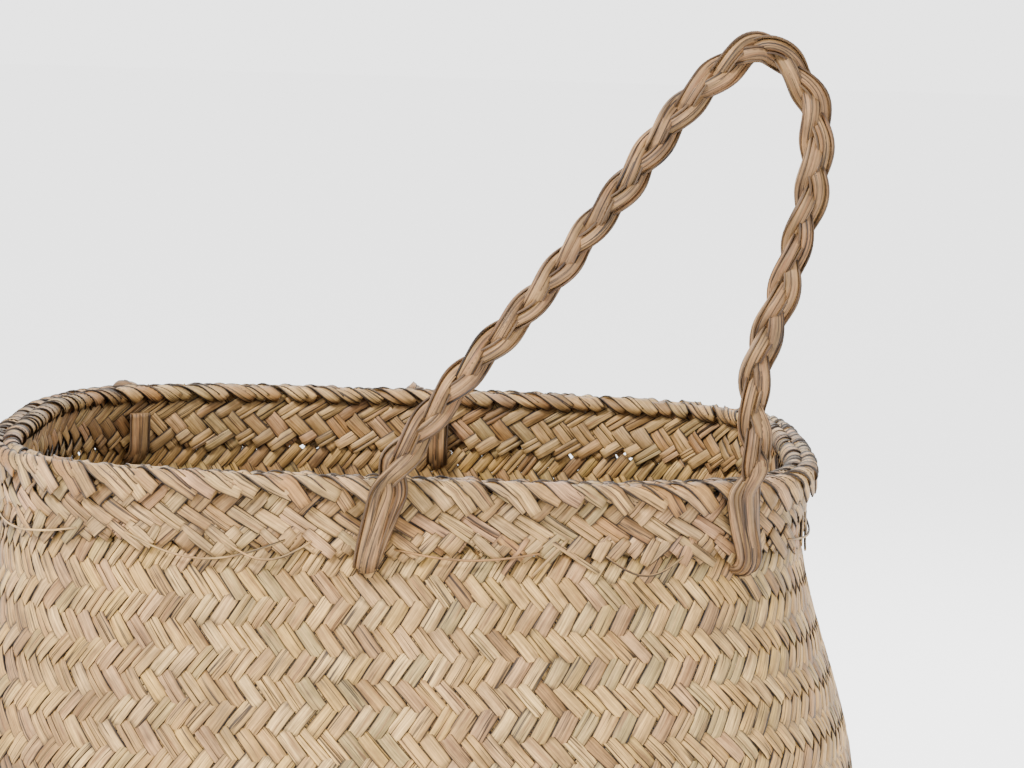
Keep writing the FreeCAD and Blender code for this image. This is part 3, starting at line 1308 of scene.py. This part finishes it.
def tangent(before: Vector, here: Vector, after: Vector) -> Vector:
    """Unit-speed direction of a smooth curve at one of its knots.

    Args:
        before: The knot before.
        here: The knot.
        after: The knot after.

    Returns:
        A direction of about unit length.
    """
    first = (here - before).length
    second = (after - here).length
    if first < 1e-9:
        return (after - here) / second
    if second < 1e-9:
        return (here - before) / first
    mixed = (here - before) / first * second + (after - here) / second * first
    return mixed / (first + second)


@dataclass(frozen=True)
class SoftLight:
    """One square panel light, with its width in metres and its power in watts."""

    name: str
    place: tuple[float, float, float]
    size: float
    watts: float


@dataclass(frozen=True)
class Studio:
    """A pale seamless floor, soft daylight and the camera."""

    focal_mm: float = 122.66
    sensor_mm: float = 36.0
    camera_place: tuple[float, float, float] = (0.0470, -1.5876, 0.5217)
    pitch_down: float = 5.70
    roll: float = 1.81
    view_depth: float = 50.0
    daylight: float = 3.0
    floor_reach: float = 40.0
    floor_gap: float = 0.5 * MM
    aim_height: float = 0.25
    lights: tuple[SoftLight, ...] = (
        SoftLight("key_light", (-1.0, -1.4, 1.8), 0.45, 135.0),
        SoftLight("fill_light", (1.5, -1.2, 0.9), 1.2, 14.0),
        SoftLight("back_light", (0.4, 1.5, 1.5), 1.0, 26.0))

    def floor(self) -> None:
        """Lays a wide pale floor under the basket."""
        mesh = bmesh.new()
        bmesh.ops.create_grid(mesh, x_segments=2, y_segments=2, size=self.floor_reach)
        level = CAD_BOX[0][2] - self.floor_gap
        bmesh.ops.translate(mesh, verts=mesh.verts, vec=Vector((0.0, 0.0, level)))
        data = bpy.data.meshes.new("studio_floor")
        mesh.to_mesh(data)
        mesh.free()
        floor = bpy.data.objects.new("studio_floor", data)
        bpy.context.scene.collection.objects.link(floor)
        paper = bpy.data.materials.new("matt_white_paper")
        paper.use_nodes = True
        shader = paper.node_tree.nodes["Principled BSDF"]
        shader.inputs["Base Color"].default_value = linear("fafafa")
        shader.inputs["Roughness"].default_value = 0.95
        data.materials.append(paper)

    def hang(self, light: SoftLight) -> None:
        """Hangs one soft light that faces the basket.

        Args:
            light: The light.
        """
        lamp = bpy.data.lights.new(light.name, "AREA")
        lamp.size = light.size
        lamp.energy = light.watts
        holder = bpy.data.objects.new(light.name, lamp)
        holder.location = light.place
        aim = UP * self.aim_height - Vector(light.place)
        holder.rotation_euler = aim.to_track_quat("-Z", "Y").to_euler()
        bpy.context.scene.collection.objects.link(holder)

    def camera(self) -> None:
        """Sets the camera at the viewing angle."""
        data = bpy.data.cameras.new("camera")
        data.lens = self.focal_mm
        data.sensor_width = self.sensor_mm
        data.clip_end = self.view_depth
        camera = bpy.data.objects.new("camera", data)
        level = Matrix.Rotation(math.radians(90.0 - self.pitch_down), 4, "X")
        turn = Matrix.Rotation(math.radians(self.roll), 4, "Z")
        camera.matrix_world = Matrix.Translation(Vector(self.camera_place)) @ level @ turn
        bpy.context.scene.collection.objects.link(camera)
        bpy.context.scene.camera = camera

    def build(self) -> None:
        """Builds the floor, the lights and the camera."""
        self.floor()
        world = bpy.data.worlds.new("soft_daylight")
        world.use_nodes = True
        backdrop = world.node_tree.nodes["Background"]
        backdrop.inputs["Color"].default_value = linear("ffffff")
        backdrop.inputs["Strength"].default_value = self.daylight
        bpy.context.scene.world = world
        for light in self.lights:
            self.hang(light)
        self.camera()


def main() -> None:
    """Builds the basket and its stage."""
    logging.basicConfig(level=logging.INFO, format="%(name)s: %(message)s")
    form = BasketForm()
    Studio().build()
    LOG.info("studio set")
    body = BellyBody(form, BODY_FINISH.material())
    body.build_wall()
    LOG.info("wall plaited")
    body.build_bottom()
    LOG.info("bottom plaited")
    Collar(form, COLLAR_FINISH.material()).build()
    LOG.info("collar and rim built")
    handle_finish = HANDLE_FINISH.material()
    handles = (("front", Turn.FRONT, Seed.FRONT_HANDLE), ("rear", Turn.REAR, Seed.REAR_HANDLE))
    for name, turn, seed in handles:
        PlaitedHandle(form, handle_finish, name, turn, seed).build()
        LOG.info("%s handle plaited", name)


if __name__ == "__main__":
    main()
